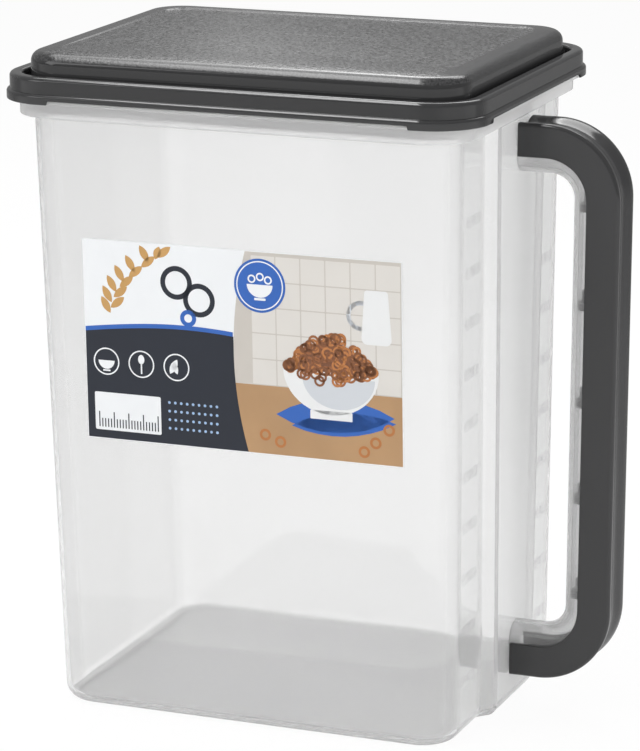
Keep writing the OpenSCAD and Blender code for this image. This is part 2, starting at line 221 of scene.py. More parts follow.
def new_object(name, bm, *materials, smooth_angle=SMOOTH_ANGLE):
    """Links the mesh as a shaded object, with edges sharper than the angle kept sharp."""
    bmesh.ops.recalc_face_normals(bm, faces=bm.faces)
    mesh = bpy.data.meshes.new(name)
    bm.to_mesh(mesh)
    bm.free()
    mesh.shade_smooth()
    mesh.set_sharp_from_angle(angle=math.radians(smooth_angle))
    for material in materials:
        mesh.materials.append(material)
    obj = bpy.data.objects.new(name, mesh)
    bpy.context.scene.collection.objects.link(obj)
    return obj


def add_loft(bm, rings):
    """Joins rings of equal length with quads, and closes both ends with flat faces."""
    loops = [[bm.verts.new([c * MM for c in point]) for point in ring] for ring in rings]
    for low, high in zip(loops, loops[1:]):
        for k in range(len(low)):
            n = (k + 1) % len(low)
            bm.faces.new((low[k], low[n], high[n], high[k]))
    bm.faces.new(loops[0])
    bm.faces.new(loops[-1])


def bevel(obj, width):
    """Rounds the object's sharp edges."""
    mod = obj.modifiers.new("edges", "BEVEL")
    mod.width = width * MM
    mod.segments = BEVEL_SEGMENTS
    mod.limit_method = "ANGLE"
    mod.angle_limit = math.radians(BEVEL_ANGLE)
    mod.harden_normals = True


# --- tub -----------------------------------

CORNER_STEPS = 14
PANEL_STEPS = 5
TUB_STEPS = [CORNER_STEPS] * 2 + [PANEL_STEPS] * 4 + [CORNER_STEPS] * 2
END_POINTS = 2 * (CORNER_STEPS + 1)
FILLET_ANGLES = [math.radians(a) for a in range(0, 91, 10)]
WALL_LEVELS = (24, 60, 120, 180, 240, 290, TUB_HEIGHT - 0.8)
RIM_START = 2.0
LEDGE_TUCK = 0.6
# Radii at the points of the rim's profile, from the wall out, up over the collar and down to the ledge.
RIM_RADII = (0, 0.8, 0.6, 0.5, 0.5, 0.4, 0.6, 0.6, 0.4, 0.5, 0.6, 0)

# The foot, darker as painted shade for the shadow under the tub, and the rim with the end panel's edges and
# slopes, have materials of their own. A normal leans along y by TURNED on those slopes and edges, and along z
# by less than UPRIGHT.
FOOT_SHADE_SLOT, RIM_SLOT = 1, 2
FOOT_SHADE_BAND = 2.8
TURNED = (0.05, 0.66)
UPRIGHT = 0.1


def between(z, low, high):
    """A wall's size at height z, from its sizes at the foot and under the rim."""
    t = max(0.0, z - FOOT_FILLET) / (TUB_HEIGHT - FOOT_FILLET)
    return low + (high - low) * t


def panel_crest_x(z):
    """Where the raised end panel's face is at height z."""
    return between(z, FOOT_X[1], TUB_TOP[0]) + PANEL_OUT


def side_y(z):
    """Half width of the tub at height z."""
    return between(z, FOOT_HALF_Y, TUB_TOP[1])


def tub_outline(z, inset):
    """The tub's outline at height z with its raised end panel, moved in by the inset."""
    front = between(z, FOOT_X[0], -TUB_TOP[0]) + inset
    back = between(z, FOOT_X[1], TUB_TOP[0]) - inset
    side = side_y(z) - inset
    mitre = math.tan(math.atan2(PANEL_OUT, PANEL_SLOPE) / 2)
    crest = between(z, *PANEL_HALF) - inset * mitre
    base = crest + PANEL_SLOPE
    corner = between(z, FOOT_CORNER, TUB_TOP[2]) - inset
    edge = max(PANEL_EDGE - inset, PANEL_EDGE_MIN)
    root = PANEL_ROOT + inset
    out = back + PANEL_OUT
    corners = [
        (front, -side), (back, -side), (back, -base), (out, -crest),
        (out, crest), (back, base), (back, side), (front, side)]
    return rounded_polygon(corners, [corner, corner, root, edge, edge, root, corner, corner], TUB_STEPS)


def rim_outline(out):
    """The rim's outline, moved out from the skirt's face, with as many points as the tub's outline."""
    half_x, half_y, r = (size + out for size in SKIRT)
    square = box_outline(-half_x, -half_y, half_x, half_y, r, CORNER_STEPS)
    panel = tub_outline(TUB_HEIGHT, 0)[END_POINTS:-END_POINTS]
    panel[:, 0] = half_x
    return np.vstack([square[:END_POINTS], panel, square[END_POINTS:]])


def rim_profile():
    """Profile of the skirt, flange, collar and ledge, as distance out from the skirt's face and height."""
    collar_out = FLANGE_OUT - COLLAR_STEP
    collar_in = FLANGE_OUT - COLLAR_STEP - RIM_WALL
    return fillet_profile(
        [(-RIM_START, TUB_HEIGHT), (0, TUB_HEIGHT), (0, FLANGE_Z - RIM_WALL),
         (FLANGE_OUT, FLANGE_Z - RIM_WALL), (FLANGE_OUT, FLANGE_Z), (collar_out, FLANGE_Z),
         (collar_out, COLLAR_Z), (collar_in, COLLAR_Z), (collar_in, FLANGE_Z),
         (-RIM_WALL, FLANGE_Z), (-RIM_WALL, LEDGE_Z), (-RIM_WALL - LEDGE_TUCK, LEDGE_Z)],
        RIM_RADII)


def tub_rings():
    """The tub's rings: up the outside, over the rim and down the inside to the floor."""
    rings = []
    for a in FILLET_ANGLES:
        z = FOOT_FILLET * (1 - math.cos(a))
        rings.append(at_height(tub_outline(z, FOOT_FILLET * (1 - math.sin(a))), z))
    for z in WALL_LEVELS:
        rings.append(at_height(tub_outline(z, 0), z))
    for out, z in rim_profile()[1:-1]:
        rings.append(at_height(rim_outline(out), z))
    rings.append(at_height(tub_outline(TUB_HEIGHT, WALL - LEDGE_ROUND), LEDGE_Z))
    rings.append(at_height(tub_outline(TUB_HEIGHT, WALL), LEDGE_Z - LEDGE_ROUND))
    for z in reversed(WALL_LEVELS):
        rings.append(at_height(tub_outline(z, WALL), z))
    inner_fillet = FOOT_FILLET - WALL
    for a in reversed(FILLET_ANGLES):
        z = FLOOR + inner_fillet * (1 - math.cos(a))
        rings.append(at_height(tub_outline(z, WALL + inner_fillet * (1 - math.sin(a))), z))
    return rings


def make_tub(material, foot_shade_material, rim_material):
    """Clear body: filleted foot, tapered walls, ledge, skirt, flange and collar, as one moulding."""
    bm = bmesh.new()
    add_loft(bm, tub_rings())
    obj = new_object("tub_body", bm, material, foot_shade_material, rim_material)
    for face in obj.data.polygons:
        x, y, z = (c / MM for c in face.center)
        turned = TURNED[0] < abs(face.normal.y) < TURNED[1] and abs(face.normal.z) < UPRIGHT
        on_panel = x > FOOT_X[1] and abs(y) < between(z, *PANEL_HALF) + PANEL_EDGE
        # Faces low on the foot and floor get the darker material: painted shade for the shadow under the tub.
        if z < FOOT_SHADE_BAND:
            face.material_index = FOOT_SHADE_SLOT
        elif z > TUB_HEIGHT or (turned and on_panel):
            face.material_index = RIM_SLOT
    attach(obj, "keeper")
    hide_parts("tub")


# --- lid -----------------------------------

# DOME is the fall from the border to the platform's edge, CROWN the rise of the sunk panel's middle, and
# SINK_FADE where the sink fades, as shares of the panel's half width.
DOME = 0.7
SINK_RUN = 0.9
SINK_ZONE = 2.0
SINK_FADE = (0.6, 0.92)
BORDER_LEAD = 0.7
CROWN = 0.45
CROWN_STEPS = 12
CROWN_REACH = 60.0
CROWN_FROM = 1.0
CROWN_SHRINK = 0.9
GUTTER_LEAD = 0.7
SHOULDER_LEAD = 0.8
UNDER_REACH = 12
LID_SMOOTH_ANGLE = 40.0
TAB_BAND = 0.35
# Points along the sides, at the corner tabs' ends and between them, and the least space between two.
LID_STOPS_X = (94.4, 93.6, 62.0, 31.0)
LID_STOPS_Y = (67.1, 66.3, 33.0)
STOP_SPACE = 0.05
# Radii at the points of the three profiles.
TOP_RADII = (0, 0.3, 0.4, 0, PLATFORM_EDGE, 0.6, 0)
OUTSIDE_RADII = (0, 0.6, 1.5, 2.0, 0.1, 1.5, 0.3, 0)
UNDER_RADII = (0, PLATFORM_EDGE - PLATFORM_WALL, 0)

# The top's edges and its grained panel have materials of their own.
EDGE_SLOT, GRAIN_SLOT = 1, 2
GRAIN_DEPTH = 4.2
GRAIN_INSET = 0.2


def rect_outline(half_x, half_y, r):
    """Rounded rectangle with extra points along its sides, at the corner tabs' ends and between them."""
    points = []
    sides = ((1, 0), (0, 1), (-1, 0), (0, -1))
    for n, (ux, uy) in enumerate(sides):
        stops = LID_STOPS_Y if ux else LID_STOPS_X
        half, reach = (half_y, half_x) if ux else (half_x, half_y)
        limit = half - r
        spread = [min(s, limit - STOP_SPACE * (k + 1)) for k, s in enumerate(stops)]
        along = [-s for s in spread] + [0.0] + spread[::-1]
        for s in along:
            points.append((ux * reach - uy * s, uy * reach + ux * s))
        corner = (ux * reach - uy * half, uy * reach + ux * half)
        centre = (corner[0] - (ux - uy) * r, corner[1] - (ux + uy) * r)
        for k in range(CORNER_STEPS + 1):
            a = math.radians(90 * n + 90 * k / CORNER_STEPS)
            points.append((centre[0] + r * math.cos(a), centre[1] + r * math.sin(a)))
    return np.array(points)


def lid_ring(base, out, z, corner=None):
    """Ring about a base outline, moved out by the given distance, with its own corner where one is given."""
    r = base[2] + out if corner is None else corner
    return at_height(rect_outline(base[0] + out, base[1] + out, r), z)


def faded(ring):
    """The ring with the panel's sink fading out towards the lid's front edge."""
    low, high = (f * (PLATFORM[1] - BORDER) for f in SINK_FADE)
    t = np.clip((-ring[:, 1] - low) / (high - low), 0, 1)
    step = np.clip(PLATFORM_Z - ring[:, 2], 0, SINK)
    ring[:, 2] += step * t * t * (3 - 2 * t)
    return ring


def crown_rings():
    """The slightly crowned middle of the sunk panel, from the centre outwards."""
    rings = []
    for step in range(CROWN_STEPS, 0, -1):
        out = -BORDER - CROWN_FROM - CROWN_REACH * step / CROWN_STEPS
        corner = SINK_CORNER * (1 - CROWN_SHRINK * step / CROWN_STEPS)
        ring = lid_ring(PLATFORM, out, PLATFORM_Z - SINK, corner)
        across = 1 - (ring[:, 0] / (PLATFORM[0] - BORDER)) ** 2
        along = 1 - (ring[:, 1] / (PLATFORM[1] - BORDER)) ** 2
        ring[:, 2] += CROWN * across * along
        rings.append(faded(ring))
    return rings


def platform_rings():
    """The sunk panel's edge, the border, the platform's round edge and its side down to the gutter."""
    inner = -BORDER + SINK_RUN
    outer = -BORDER + SINK_RUN + BORDER_LEAD
    gutter_top = GUTTER_Z + LID_WALL
    profile = fillet_profile(
        [(-BORDER - CROWN_FROM, PLATFORM_Z - SINK), (-BORDER, PLATFORM_Z - SINK), (inner, PLATFORM_Z),
         (outer, PLATFORM_Z - DOME * (outer - inner) / -inner), (0, PLATFORM_Z - DOME),
         (0, gutter_top), (GUTTER_LEAD, gutter_top)],
        TOP_RADII, steps=8)
    rings = []
    for out, z in profile:
        if out < -BORDER + SINK_ZONE:
            rings.append(faded(lid_ring(PLATFORM, out, z, SINK_CORNER + (out + BORDER))))
        else:
            rings.append(lid_ring(PLATFORM, out, z))
    return rings


def shoulder_rings():
    """The hollow shoulder and the lip, outside and then inside."""
    shoulder = -SHOULDER_STEP
    ridge_in = shoulder - SHOULDER_W
    gutter_top = GUTTER_Z + LID_WALL
    outside = fillet_profile(
        [(ridge_in - SHOULDER_LEAD, gutter_top), (ridge_in, gutter_top), (ridge_in, SHOULDER_Z),
         (shoulder, SHOULDER_Z), (shoulder, LIP_Z), (0, LIP_Z), (0, LID_Z), (-LIP_WALL, LID_Z)],
        OUTSIDE_RADII, steps=6)
    inside = [
        (-LIP_WALL, LIP_Z - LID_WALL), (shoulder - LID_WALL, LIP_Z - LID_WALL),
        (shoulder - LID_WALL, SHOULDER_Z - LID_WALL), (ridge_in + LID_WALL, SHOULDER_Z - LID_WALL),
        (ridge_in + LID_WALL, GUTTER_Z)]
    return [lid_ring(LIP, out, z) for out, z in outside + inside]


def under_rings():
    """The platform's underside."""
    profile = fillet_profile(
        [(-PLATFORM_WALL, GUTTER_Z), (-PLATFORM_WALL, PLATFORM_Z - PLATFORM_WALL),
         (-PLATFORM_WALL - UNDER_REACH, PLATFORM_Z - PLATFORM_WALL)],
        UNDER_RADII, steps=6)
    return [lid_ring(PLATFORM, out, z) for out, z in profile]


def make_lid(grain, edge, satin):
    """Press-on lid: sunk panel, round-edged platform, gutter, hollow shoulder, lip and corner tabs."""
    rings = crown_rings() + platform_rings() + shoulder_rings() + under_rings()
    for ring in rings:
        on_lip = abs(ring[:, 2] - LID_Z) < TAB_BAND
        at_corner = (np.abs(ring[:, 0]) > TAB_FROM[0]) & (np.abs(ring[:, 1]) > TAB_FROM[1])
        ring[on_lip & at_corner, 2] += TAB_Z - LID_Z
    bm = bmesh.new()
    add_loft(bm, rings)
    obj = new_object("lid_shell", bm, satin, edge, grain, smooth_angle=LID_SMOOTH_ANGLE)
    for face in obj.data.polygons:
        x, y, z = (c / MM for c in face.center)
        if z > PLATFORM_Z - GRAIN_DEPTH:
            across = abs(x) < PLATFORM[0] - BORDER - GRAIN_INSET
            along = PLATFORM_EDGE - PLATFORM[1] < y < PLATFORM[1] - BORDER - GRAIN_INSET
            face.material_index = GRAIN_SLOT if across and along else EDGE_SLOT
    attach(obj, "lid")
    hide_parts("lid")


# --- handle --------------------------------

GRIP_TILT = math.atan2(BEND_HIGH[0] - BEND_LOW[0], BEND_HIGH[1] - BEND_LOW[1])
BEND_STEPS = 28
EDGE_STEPS = 10
EDGE_LEAD = 0.3
HOLLOW_STEPS = 12
CORE_STEPS = 24
WEB_CHAMFER = 0.6
LIP_CHAMFER = 0.3
RIM_CHAMFER = 0.4
GRIP_BEVEL = 0.35
HOOK_ARC_STEPS = 16
HOOK_TUCK = 0.5


def handle_stations():
    """Centre and direction of each section along the two bends, from the upper arm to the lower."""
    tilt = math.degrees(GRIP_TILT)
    high = [(BEND_HIGH, 90 - n * (90 + tilt) / BEND_STEPS) for n in range(BEND_STEPS + 1)]
    low = [(BEND_LOW, -tilt - n * (90 - tilt) / BEND_STEPS) for n in range(BEND_STEPS + 1)]
    return high + low


def arm_end(section, bend_z, sign, gap):
    """The section at an arm's end, cut along the end panel; its outside is up with sign 1, down with -1."""
    return np.array([(panel_crest_x(bend_z + sign * u) + gap, v, bend_z + sign * u) for u, v in section])


def sweep_handle(name, section, gap, material):
    """Sweeps a closed section along the handle, with its two ends cut along the end panel."""
    rings = [arm_end(section, BEND_HIGH[1], 1, gap)]
    for (x, z), angle in handle_stations():
        a = math.radians(angle)
        rings.append(np.array([(x + u * math.cos(a), v, z + u * math.sin(a)) for u, v in section]))
    rings.append(arm_end(section, BEND_LOW[1], -1, gap))
    bm = bmesh.new()
    add_loft(bm, rings)
    return new_object(name, bm, material)


def make_core(material):
    """Clear half-round core, hollow and open towards the grip's web."""
    outer = [(CORE_FLANK, CORE_R)]
    inner = [(CORE_FLANK, -CORE_INNER)]
    for k in range(CORE_STEPS + 1):
        a = math.radians(90 + 180 / CORE_STEPS * k)
        outer.append((CORE_CENTRE + CORE_R * math.cos(a), CORE_R * math.sin(a)))
        b = math.radians(270 - 180 / CORE_STEPS * k)
        inner.append((CORE_CENTRE + CORE_INNER * math.cos(b), CORE_INNER * math.sin(b)))
    outer.append((CORE_FLANK, -CORE_R))
    inner.append((CORE_FLANK, CORE_INNER))
    obj = sweep_handle("handle_core_shell", outer + inner, 0.0, material)
    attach(obj, "keeper")
    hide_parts("handle_core")


def grip_section():
    """Grip's section: two side walls, round outer edges and a shallow hollow along the outer face."""
    inner = GRIP_HALF - GRIP_WALL
    near = [
        (GRIP_WEB, -inner + WEB_CHAMFER), (GRIP_WEB - WEB_CHAMFER, -inner),
        (GRIP_IN + LIP_CHAMFER, -inner), (GRIP_IN, -inner - LIP_CHAMFER),
        (GRIP_IN, -GRIP_HALF + RIM_CHAMFER), (GRIP_IN + RIM_CHAMFER, -GRIP_HALF),
        (BEND_R - GRIP_EDGE - EDGE_LEAD, -GRIP_HALF)]
    for k in range(EDGE_STEPS + 1):
        a = math.radians(90 * k / EDGE_STEPS - 90)
        near.append((
            BEND_R - GRIP_EDGE * (1 - math.cos(a)),
            -HOLLOW_HALF + (GRIP_HALF - HOLLOW_HALF) * math.sin(a)))
    for k in range(1, HOLLOW_STEPS):
        a = math.pi * (1 - k / HOLLOW_STEPS)
        near.append((BEND_R - HOLLOW_DEPTH * (1 + math.cos(a)) / 2, -HOLLOW_HALF * a / math.pi))
    return near + [(u, -v) for u, v in reversed(near)]


def hook_outline(r, half):
    """Plan of one step of a hook: a round end in the core's hollow, running back into the web."""
    points = [(GRIP_WEB + HOOK_TUCK, half)]
    reach = math.asin(half / r)
    for k in range(HOOK_ARC_STEPS + 1):
        a = math.pi - reach + k * reach / (HOOK_ARC_STEPS / 2)
        points.append((CORE_CENTRE + r * math.cos(a), r * math.sin(a)))
    points.append((GRIP_WEB + HOOK_TUCK, -half))
    return points


def add_hook(bm, top):
    """A snap hook in two steps: a bar, and a smaller tab that stands up from it."""
    c, s = math.cos(GRIP_TILT), math.sin(GRIP_TILT)
    x, z = BEND_LOW
    for set_back, height in ((0.0, 0.0), (HOOK_STEP, HOOK_TAB)):
        outline = hook_outline(HOOK_R - set_back, HOOK_HALF - set_back)
        rings = []
        for up in (top - HOOK_BAR, top + height):
            rings.append([(x + u * c + up * s, v, z - u * s + up * c) for u, v in outline])
        add_loft(bm, rings)


def make_grip(material):
    """Dark grip shell and its row of snap hooks, in one object."""
    obj = sweep_handle("grip_shell", grip_section(), GRIP_END_GAP, material)
    bm = bmesh.new()
    bm.from_mesh(obj.data)
    for n in range(HOOKS):
        add_hook(bm, HOOK_LOW + n * HOOK_PITCH)
    bmesh.ops.recalc_face_normals(bm, faces=bm.faces)
    bm.to_mesh(obj.data)
    bm.free()
    obj.data.shade_smooth()
    obj.data.set_sharp_from_angle(angle=math.radians(SMOOTH_ANGLE))
    bevel(obj, GRIP_BEVEL)
    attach(obj, "keeper")
    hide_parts("grip")


# --- label: film and outlines --------------
# Places on the label are from its middle, x along it and z up.

LAYER = 0.03
HALF_W, HALF_H = (size / 2 for size in LABEL_SIZE)
WAVE_Z = 4.0
WAVE_SWING = 4.5
WAVE_FROM = 84
WAVE_RUN = 34
PICTURE_LEFT = -4.0
PICTURE_BOW = 7.0
LEAF_BLUNT = 0.8


def label_point(x, z, lift):
    """Place on the side wall of a point of the label, from the label's middle, lifted off the wall."""
    lean = math.atan2(TUB_TOP[1] - FOOT_HALF_Y, TUB_HEIGHT - FOOT_FILLET)
    turn = math.radians(LABEL_TURN)
    along = x * math.cos(turn) - z * math.sin(turn)
    up = z * math.cos(turn) + x * math.sin(turn)
    return (
        LABEL_CENTRE[0] + along,
        -side_y(LABEL_CENTRE[1]) - lift * math.cos(lean) - up * math.sin(lean),
        LABEL_CENTRE[1] + up * math.cos(lean) - lift * math.sin(lean))


def label_piece(kind, outlines, layer, material):
    """Thin printed pieces on the label film; the layer says which lies over which."""
    low = LABEL_T + LAYER * (layer - 1)
    bm = bmesh.new()
    for outline in outlines:
        add_loft(bm, [[label_point(x, z, lift) for x, z in outline] for lift in (low, low + LAYER)])
    obj = new_object(f"label_{kind}", bm, material)
    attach(obj, "keeper")


def make_label(material):
    """Label film on the side wall, following its lean."""
    outline = box_outline(-HALF_W, -HALF_H, HALF_W, HALF_H, LABEL_CORNER)
    bm = bmesh.new()
    add_loft(bm, [[label_point(x, z, lift) for x, z in outline] for lift in (FILM_GAP, LABEL_T)])
    obj = new_object("label_film", bm, material)
    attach(obj, "keeper")
    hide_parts("label")


def ellipse(x, z, rx, rz, steps=40):
    """Outline of an upright ellipse."""
    turns = np.linspace(0, 2 * math.pi, steps, endpoint=False)
    return [(x + rx * math.cos(t), z + rz * math.sin(t)) for t in turns]


def leaf(x, z, length, width, turn, steps=9):
    """Outline of a pointed leaf or grain that runs out from x, z."""
    side = [(length * t, width * math.sin(math.pi * t) ** LEAF_BLUNT / 2) for t in np.linspace(0, 1, steps)]
    points = side + [(u, -v) for u, v in reversed(side[1:-1])]
    c, s = math.cos(turn), math.sin(turn)
    return [(x + u * c - v * s, z + u * s + v * c) for u, v in points]


def wave(x):
    """Height of the wave over the navy field at x."""
    return WAVE_Z + WAVE_SWING * math.sin((x + WAVE_FROM) / WAVE_RUN)


def wave_band(x0, x1, low, high, steps=40):
    """Outline between two heights that are functions of x."""
    xs = np.linspace(x0, x1, steps)
    return [(x, low(x)) for x in xs] + [(x, high(x)) for x in reversed(xs)]


def picture_edge(z):
    """Left edge of the picture at height z: a shallow arc."""
    return PICTURE_LEFT + PICTURE_BOW * (z / HALF_H) ** 2


def hoop(x, z, r, width, steps=20):
    """A ring as two half bands."""
    halves = []
    for start in (0.0, math.pi):
        a = np.linspace(start, start + math.pi, steps)
        outer = [(x + r * math.cos(t), z + r * math.sin(t)) for t in a]
        inner = [(x + (r - width) * math.cos(t), z + (r - width) * math.sin(t)) for t in reversed(a)]
        halves.append(outer + inner)
    return halves


def hoops(rings, steps=20):
    """Many rings, each given as x, z, radius and width."""
    return [half for ring in rings for half in hoop(*ring, steps)]


def bowl(x, z, r, depth, steps=24):
    """Side view of a bowl: flat rim and round belly."""
    a = np.linspace(math.pi, 2 * math.pi, steps)
    return [(x + r * math.cos(t), z + depth * math.sin(t)) for t in a]


# --- label: generic print ------------------
# Boxes are left, foot, right, top, corner; rings x, z, radius, width; bowls x, z, radius, depth; ellipses
# x, z and two radii; leaves x, z, length, width, turn. The badge's bowl, foot and bits are from its centre.

MARGIN = 0.3
TABLE_Z = -16.0
FIELD_POINTS = 30
WAVE_POINTS = 40
FOOT_STOP = 2
WAVE_BAND = 2.2
WAVE_END_GAP = 0.3

TILES = (6, 5)
TILE_PITCH = 13
TILE_X = (6, 18.4)
TILE_Z = (0.5, 12.9)
CLOTH = ((18, -30, 62, 17, 0.05), (26, -35, 55, 12, 0.1))
BOWL = (47, -6, 25, 22)
BOWL_FOOT = (36, -30.5, 58, -26)
BOWL_SHADE = (51, -9, 19, 16)

HEAP_SEED = 7
HEAP_COUNT = 120
HEAP_X = 47
HEAP_Z = -6
HEAP_REACH = 22.5
HEAP_SPREAD = (-0.4, 1)
HEAP_RISE = 17
HEAP_LIFT = 1.0
HEAP_ENDS = (25.5, 68.5)
HEAP_FOOT = -6.5
HEAP_CROWN = 15
HEAP_HALF = 22
HEAP_SHADES = 3
CEREAL_R = (2.3, 3.1)
CEREAL_WIDTH = 1.15
LOOSE = [(x, z, 3.0, 1.3) for x, z in ((12, -41), (20, -44), (70, -40), (77, -33), (64, -45))]

JUG = [(63, 9), (79, 9), (77, 36), (65, 36)]
JUG_RADII = [3, 3, 1.5, 1.5]
JUG_STEPS = [5] * 4
JUG_HANDLE = (63, 23, 7.5, 2.2)

EAR_FROM = (-70, 14)
EAR_GRAINS = 12
EAR_LEAN = 0.18
EAR_RISE = 30
EAR_GRAIN = (9.5, 4.0)
EAR_TURNS = (math.radians(120), math.radians(38))
EAR_TIP = (-45, 43, 7.0, 4.0, math.radians(70))
HOOPS = ((-34, 32, 8.5, 2.6), (-22, 24, 8.5, 2.6))
BLUE_HOOP = (-28, 14.5, 4.3, 2.2)

SIGN_RINGS = [(x, -11, 7.0, 0.7) for x in (-73, -54, -35)]
SIGN_BOWL = (-73, -10.5, 4.4, 4.4)
SIGN_BOWL_FOOT = (-75, -16, -71, -15.2, 0.2)
SIGN_SPOON = (-54, -8.6, 1.7, 2.4)
SIGN_STEM = (-54.4, -16, -53.6, -10.5, 0.2)
SIGN_LEAVES = ((-38.5, -14.5, 8.5, 3.6, math.radians(62)), (-34.5, -14.5, 6.5, 2.8, math.radians(110)))
SCALE_FIELD = (-80, -46.5, -44, -27, 0.8)
TICKS = 21
TICK = (-78, -45, -77.4, 0.15)
TICK_PITCH = 1.6
TICK_TOPS = (-37, -40.5)
TICK_LONG = 5
DOTS = (9, 4)
DOT = (-40, -30, -38.6, -28.6, 0.6)
DOT_PITCH = (3.2, 4.4)

BADGE = (10.5, 34.0)
BADGE_R = 13.5
BADGE_STEPS = 64
BADGE_RING = (12.3, 0.6)
BADGE_BOWL = (0.5, 6.8, 6.5)
BADGE_FOOT = (-3, -7.4, 3, -6.2)
BADGE_BITS = ((-4.2, 3.2), (0.2, 4.4), (4.4, 3.0))
BADGE_BIT = (2.1, 0.8)


def print_fields(inks):
    """The picture's wall and table, and the navy foot under its blue wave."""
    half_w, half_h = HALF_W - MARGIN, HALF_H - MARGIN
    edge = [(picture_edge(z), z) for z in np.linspace(-half_h, half_h, FIELD_POINTS)]
    corner = (picture_edge(TABLE_Z), TABLE_Z)
    wall = [(half_w, TABLE_Z), (half_w, half_h)] + [p for p in reversed(edge) if p[1] >= TABLE_Z] + [corner]
    table = [(half_w, -half_h), (half_w, TABLE_Z), corner] + [p for p in reversed(edge) if p[1] < TABLE_Z]
    label_piece("wall", [wall], 1, inks["wall"])
    label_piece("table", [table], 1, inks["table"])
    foot = [(-half_w, -half_h), (picture_edge(-half_h), -half_h)]
    foot += [(x, z) for x, z in edge if -half_h < z < wave(x) - FOOT_STOP]
    foot += [(x, wave(x)) for x in np.linspace(picture_edge(0), -half_w, WAVE_POINTS)]
    label_piece("foot", [foot], 1, inks["navy"])
    band = wave_band(-half_w, picture_edge(0) - WAVE_END_GAP, wave, lambda x: wave(x) + WAVE_BAND)
    label_piece("wave", [band], 2, inks["blue"])


def print_table(inks):
    """The tiled wall, the cloth and the bowl."""
    tiles = []
    for i in range(TILES[0]):
        for k in range(TILES[1]):
            x0, x1 = (x + TILE_PITCH * i for x in TILE_X)
            z0, z1 = (TABLE_Z + TILE_PITCH * k + z for z in TILE_Z)
            tiles.append(box_outline(x0, z0, x1, z1))
    label_piece("tiles", tiles, 2, inks["tile"])
    label_piece("cloth", [leaf(*place) for place in CLOTH], 2, inks["blue"])
    label_piece("bowl", [bowl(*BOWL), box_outline(*BOWL_FOOT)], 3, inks["china"])
    label_piece("bowl_shade", [bowl(*BOWL_SHADE)], 4, inks["china_shade"])


def heap_top(x):
    """Height of the heap's dark ground at x."""
    return HEAP_Z + HEAP_CROWN * (1 - ((x - HEAP_X) / HEAP_HALF) ** 2)


def print_heap(inks):
    """Cereal rings heaped in the bowl, in three shades, and a few loose ones on the table."""
    rng = np.random.default_rng(HEAP_SEED)
    heap = []
    for _ in range(HEAP_COUNT):
        t = rng.uniform(-1, 1)
        rise = rng.uniform(*HEAP_SPREAD) * HEAP_RISE * (1 - t * t)
        heap.append((HEAP_X + HEAP_REACH * t, HEAP_Z + rise + HEAP_LIFT))
    heap.sort(key=lambda p: -p[1])
    label_piece("heap", [wave_band(*HEAP_ENDS, lambda x: HEAP_FOOT, heap_top)], 4, inks["heap"])
    for shade in range(HEAP_SHADES):
        rings = [(x, z, rng.uniform(*CEREAL_R), CEREAL_WIDTH) for x, z in heap[shade::HEAP_SHADES]]
        label_piece(f"rings_{shade}", hoops(rings, steps=9), 5 + shade, inks[f"ring_{shade}"])
    label_piece("loose", hoops(LOOSE, steps=12), 5, inks["ring_1"])


def print_signs(inks):
    """The jug, and on the white field the ear of grain and the hoops."""
    label_piece("jug", [rounded_polygon(JUG, JUG_RADII, JUG_STEPS)], 3, inks["china"])
    label_piece("jug_handle", hoop(*JUG_HANDLE, steps=14), 2, inks["china_shade"])
    ear = []
    for k, t in enumerate(np.linspace(0, EAR_GRAINS, EAR_GRAINS)):
        x, z = EAR_FROM[0] + EAR_LEAN * t * t, EAR_FROM[1] + EAR_RISE * t / EAR_GRAINS
        ear.append(leaf(x, z, *EAR_GRAIN, EAR_TURNS[k % 2]))
    label_piece("ear", ear, 1, inks["wheat"])
    label_piece("ear_top", [leaf(*EAR_TIP)], 1, inks["wheat"])
    label_piece("hoops", hoops(HOOPS, steps=24), 1, inks["navy"])
    label_piece("hoop_blue", hoop(*BLUE_HOOP), 1, inks["blue"])


def print_foot(inks):
    """Small white signs on the navy foot: bowl, spoon and leaves in rings, a ruled scale and dots."""
    signs = hoops(SIGN_RINGS) + [bowl(*SIGN_BOWL), box_outline(*SIGN_BOWL_FOOT)]
    signs += [ellipse(*SIGN_SPOON), box_outline(*SIGN_STEM)]
    signs += [leaf(*place) for place in SIGN_LEAVES] + [box_outline(*SCALE_FIELD)]
    label_piece("signs", signs, 2, inks["white"])
    ticks = []
    left, foot, right, corner = TICK
    for k in range(TICKS):
        top = TICK_TOPS[0] if k % TICK_LONG == 0 else TICK_TOPS[1]
        ticks.append(box_outline(left + TICK_PITCH * k, foot, right + TICK_PITCH * k, top, corner))
    label_piece("ticks", ticks, 3, inks["navy"])
    dots = []
    left, foot, right, top, corner = DOT
    for k in range(DOTS[1]):
        for i in range(DOTS[0]):
            x, z = DOT_PITCH[0] * i, DOT_PITCH[1] * k
            dots.append(box_outline(left + x, foot - z, right + x, top - z, corner))
    label_piece("dots", dots, 2, inks["sky"])


def print_badge(inks):
    """Round blue badge with a pale ring and a small bowl of rings."""
    x, z = BADGE
    label_piece("badge", [ellipse(x, z, BADGE_R, BADGE_R, BADGE_STEPS)], 5, inks["blue"])
    label_piece("badge_ring", hoop(x, z, *BADGE_RING, steps=32), 6, inks["white"])
    rim, r, depth = BADGE_BOWL
    x0, z0, x1, z1 = BADGE_FOOT
    outlines = [bowl(x, z + rim, r, depth), box_outline(x + x0, z + z0, x + x1, z + z1)]
    label_piece("badge_bowl", outlines, 6, inks["white"])
    bits = [(x + dx, z + dz, *BADGE_BIT) for dx, dz in BADGE_BITS]
    label_piece("badge_rings", hoops(bits, steps=12), 6, inks["white"])


def print_label(inks):
    """Generic print: white field, navy foot under a blue wave, a breakfast scene and a round badge."""
    print_fields(inks)
    print_table(inks)
    print_heap(inks)
    print_signs(inks)
    print_foot(inks)
    print_badge(inks)


# --- volume marks and their numbers --------

